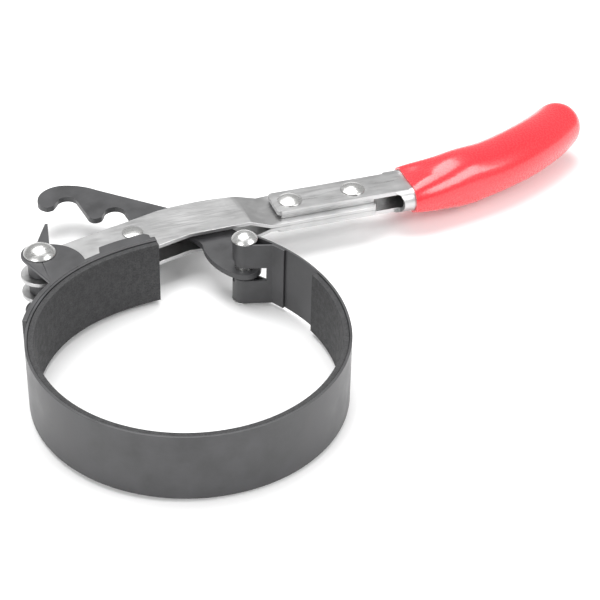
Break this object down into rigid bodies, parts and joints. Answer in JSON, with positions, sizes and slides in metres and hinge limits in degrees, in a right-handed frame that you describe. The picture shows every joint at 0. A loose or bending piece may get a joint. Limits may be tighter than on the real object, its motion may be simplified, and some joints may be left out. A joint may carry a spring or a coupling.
{
  "type": "oil filter wrench",
  "caption": "Band wrench for large oil filters: a lined steel band, a notched adjusting hook and a bent tube handle with a dipped red grip.",
  "frame": {"origin": "axis of the clamping ring, at the band's mid-height", "axes": "+Z along the ring's axis, towards the rivets' domed heads; +Y from the ring towards the head plates"},
  "size_m": [0.2438, 0.236, 0.0331],
  "materials": {
    "black_steel": "satin",
    "liner": "matte",
    "spacer_black": "satin",
    "rivet_steel": "satin",
    "plate_steel": "satin",
    "tube_steel": "satin",
    "red_vinyl": "gloss"
  },
  "bodies": {
    "band": {"band_strip": "black_steel", "friction_liner": "liner", "pivot_bracket": "black_steel", "pivot_rivet": "rivet_steel", "hook_rivet": "rivet_steel", "upper_spacer": "spacer_black", "middle_spacer": "spacer_black", "lower_spacer": "spacer_black"},
    "handle": {"upper_head_plate": "plate_steel", "lower_head_plate": "plate_steel", "catch_pin": "rivet_steel", "catch_roller": "rivet_steel", "upper_filler_plate": "plate_steel", "lower_filler_plate": "plate_steel", "handle_tube": "tube_steel", "handle_rivets": "rivet_steel", "grip_sleeve": "red_vinyl"},
    "hook": {"hook_plate": "black_steel"}
  },
  "joints": [
    {"name": "handle_swing", "type": "hinge", "parent": "band", "child": "handle", "pos_m": [-0.0573, 0.0523, 0], "axis": [0, 0, 1], "range_deg": [-6, 20]},
    {"name": "hook_swing", "type": "hinge", "parent": "band", "child": "hook", "pos_m": [0.02261, 0.05927, 0], "axis": [0, 0, 1], "range_deg": [-15, 0]}
  ]
}
